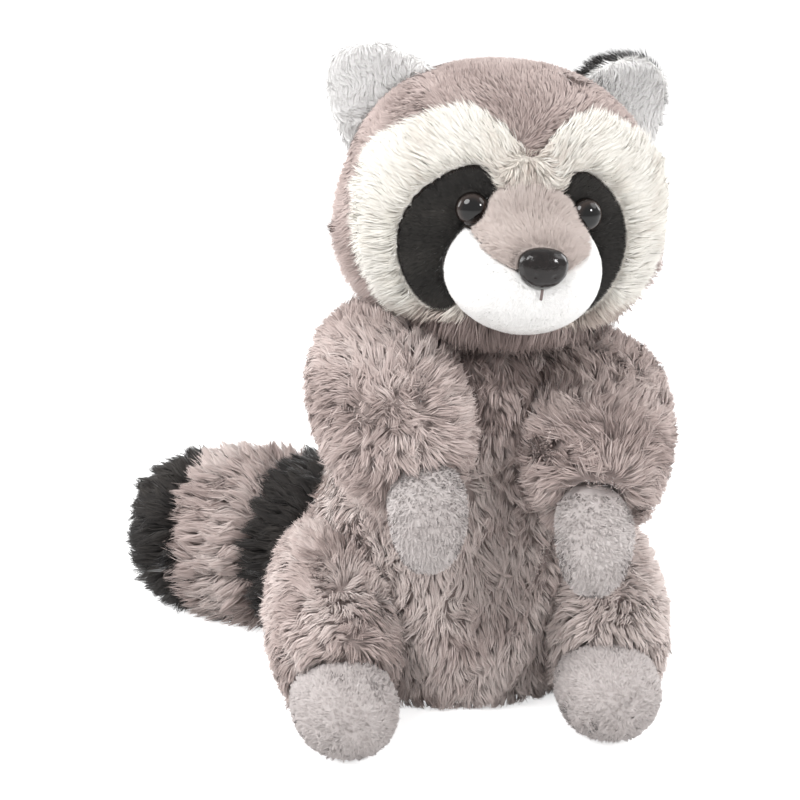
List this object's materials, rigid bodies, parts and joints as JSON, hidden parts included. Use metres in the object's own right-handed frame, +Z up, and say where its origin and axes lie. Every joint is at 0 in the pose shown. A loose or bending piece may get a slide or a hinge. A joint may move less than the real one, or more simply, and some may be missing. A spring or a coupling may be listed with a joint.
{
  "type": "plush raccoon",
  "caption": "Plush raccoon that sits upright, with a dark eye mask, a glossy nose, hanging arms and a bushy ringed tail laid behind it.",
  "frame": {"origin": "on the flat seat under the torso, below the middle of the neck", "axes": "+Z up, the animal faces -Y, its own right side is at -X"},
  "size_m": [0.2045, 0.2427, 0.2611],
  "materials": {
    "grey_long_pile": "long pile",
    "cream_long_pile": "long pile",
    "black_long_pile": "long pile",
    "black_short_pile": "short pile",
    "white_short_plush": "short pile",
    "grey_short_plush": "short pile",
    "grey_short_nap": "short nap",
    "eye_plastic": "polished",
    "nose_plastic": "polished",
    "washer_plastic": "moulded",
    "thread": "twisted thread"
  },
  "bodies": {
    "root": {"torso": "grey_long_pile", "head": "grey_long_pile", "arm_right": "grey_long_pile", "arm_left": "grey_long_pile", "leg_right": "grey_long_pile", "leg_left": "grey_long_pile", "tail_ring_1": "grey_long_pile", "tail_ring_3": "grey_long_pile", "tail_ring_2": "black_long_pile", "tail_tip": "black_long_pile", "face_panel_right": "cream_long_pile", "face_panel_left": "cream_long_pile", "eye_patch_right": "black_short_pile", "eye_patch_left": "black_short_pile", "ear_back_right": "black_short_pile", "ear_back_left": "black_short_pile", "muzzle_cheek_right": "white_short_plush", "muzzle_cheek_left": "white_short_plush", "chin_panel": "white_short_plush", "ear_front_right": "white_short_plush", "ear_front_left": "white_short_plush", "nose_bridge": "grey_short_plush", "paw_right": "grey_short_nap", "paw_left": "grey_short_nap", "foot_right": "grey_short_nap", "foot_left": "grey_short_nap", "eye_right": "eye_plastic", "eye_left": "eye_plastic", "nose": "nose_plastic", "eye_washer_right": "washer_plastic", "eye_washer_left": "washer_plastic", "nose_washer": "washer_plastic", "mouth_stitch": "thread"}
  },
  "joints": []
}
